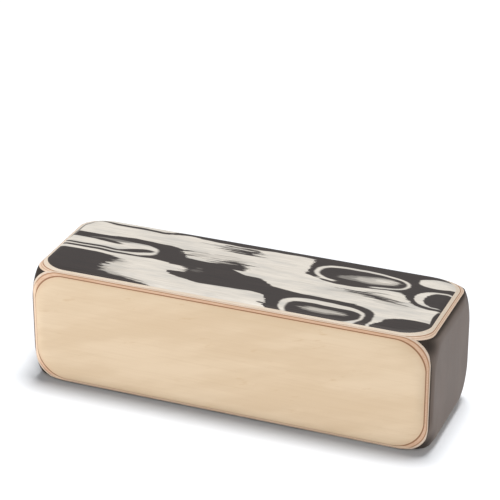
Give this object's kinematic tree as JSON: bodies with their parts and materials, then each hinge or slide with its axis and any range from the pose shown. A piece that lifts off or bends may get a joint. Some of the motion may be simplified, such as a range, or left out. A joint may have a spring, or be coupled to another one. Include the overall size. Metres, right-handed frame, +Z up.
{
  "type": "box shaker",
  "caption": "Hand-held wooden box shaker: rounded plywood panels with figured top and bottom around black end blocks, and loose beads sealed inside.",
  "frame": {"origin": "middle of the base, on the surface it stands on", "axes": "+X along the length, front face towards -Y, +Z up"},
  "size_m": [0.15, 0.048, 0.046],
  "materials": {
    "pale_face": "satin clear lacquer on pale straight-grained wood",
    "warm_core": "sanded ply edge, clear lacquer",
    "cream_ply": "sanded ply edge, clear lacquer",
    "figured_veneer": "black and white dyed figured veneer, satin lacquer",
    "black_block": "black stain, satin lacquer",
    "steel_bead": "polished steel shot"
  },
  "bodies": {
    "casing": {"front_face_ply": "pale_face", "front_core_ply": "warm_core", "front_inner_ply": "cream_ply", "rear_face_ply": "pale_face", "rear_core_ply": "warm_core", "rear_inner_ply": "cream_ply", "top_figured_veneer": "figured_veneer", "top_backing_ply": "cream_ply", "top_lining_ply": "cream_ply", "bottom_figured_veneer": "figured_veneer", "bottom_backing_ply": "cream_ply", "bottom_lining_ply": "cream_ply", "left_end_block": "black_block", "right_end_block": "black_block"},
    "beads_1": {"bead_group_1": "steel_bead"},
    "beads_2": {"bead_group_2": "steel_bead"},
    "beads_3": {"bead_group_3": "steel_bead"},
    "beads_4": {"bead_group_4": "steel_bead"},
    "beads_5": {"bead_group_5": "steel_bead"},
    "beads_6": {"bead_group_6": "steel_bead"},
    "beads_7": {"bead_group_7": "steel_bead"},
    "beads_8": {"bead_group_8": "steel_bead"},
    "beads_9": {"bead_group_9": "steel_bead"},
    "beads_10": {"bead_group_10": "steel_bead"}
  },
  "joints": [
    {"name": "beads_1_roll", "type": "slide", "parent": "casing", "child": "beads_1", "axis": [0, 1, 0], "range_m": [-0.02483, 0.00797]},
    {"name": "beads_2_roll", "type": "slide", "parent": "casing", "child": "beads_2", "axis": [0, 1, 0], "range_m": [-0.00348, 0.02932]},
    {"name": "beads_3_roll", "type": "slide", "parent": "casing", "child": "beads_3", "axis": [0, 1, 0], "range_m": [-0.02776, 0.00504]},
    {"name": "beads_4_roll", "type": "slide", "parent": "casing", "child": "beads_4", "axis": [0, 1, 0], "range_m": [-0.01191, 0.02089]},
    {"name": "beads_5_roll", "type": "slide", "parent": "casing", "child": "beads_5", "axis": [0, 1, 0], "range_m": [-0.01191, 0.02089]},
    {"name": "beads_6_roll", "type": "slide", "parent": "casing", "child": "beads_6", "axis": [0, 1, 0], "range_m": [-0.02776, 0.00504]},
    {"name": "beads_7_roll", "type": "slide", "parent": "casing", "child": "beads_7", "axis": [0, 1, 0], "range_m": [-0.00348, 0.02932]},
    {"name": "beads_8_roll", "type": "slide", "parent": "casing", "child": "beads_8", "axis": [0, 1, 0], "range_m": [-0.02483, 0.00797]},
    {"name": "beads_9_roll", "type": "slide", "parent": "casing", "child": "beads_9", "axis": [0, 1, 0], "range_m": [-0.0164, 0.0164]},
    {"name": "beads_10_roll", "type": "slide", "parent": "casing", "child": "beads_10", "axis": [0, 1, 0], "range_m": [-0.00797, 0.02483]}
  ]
}
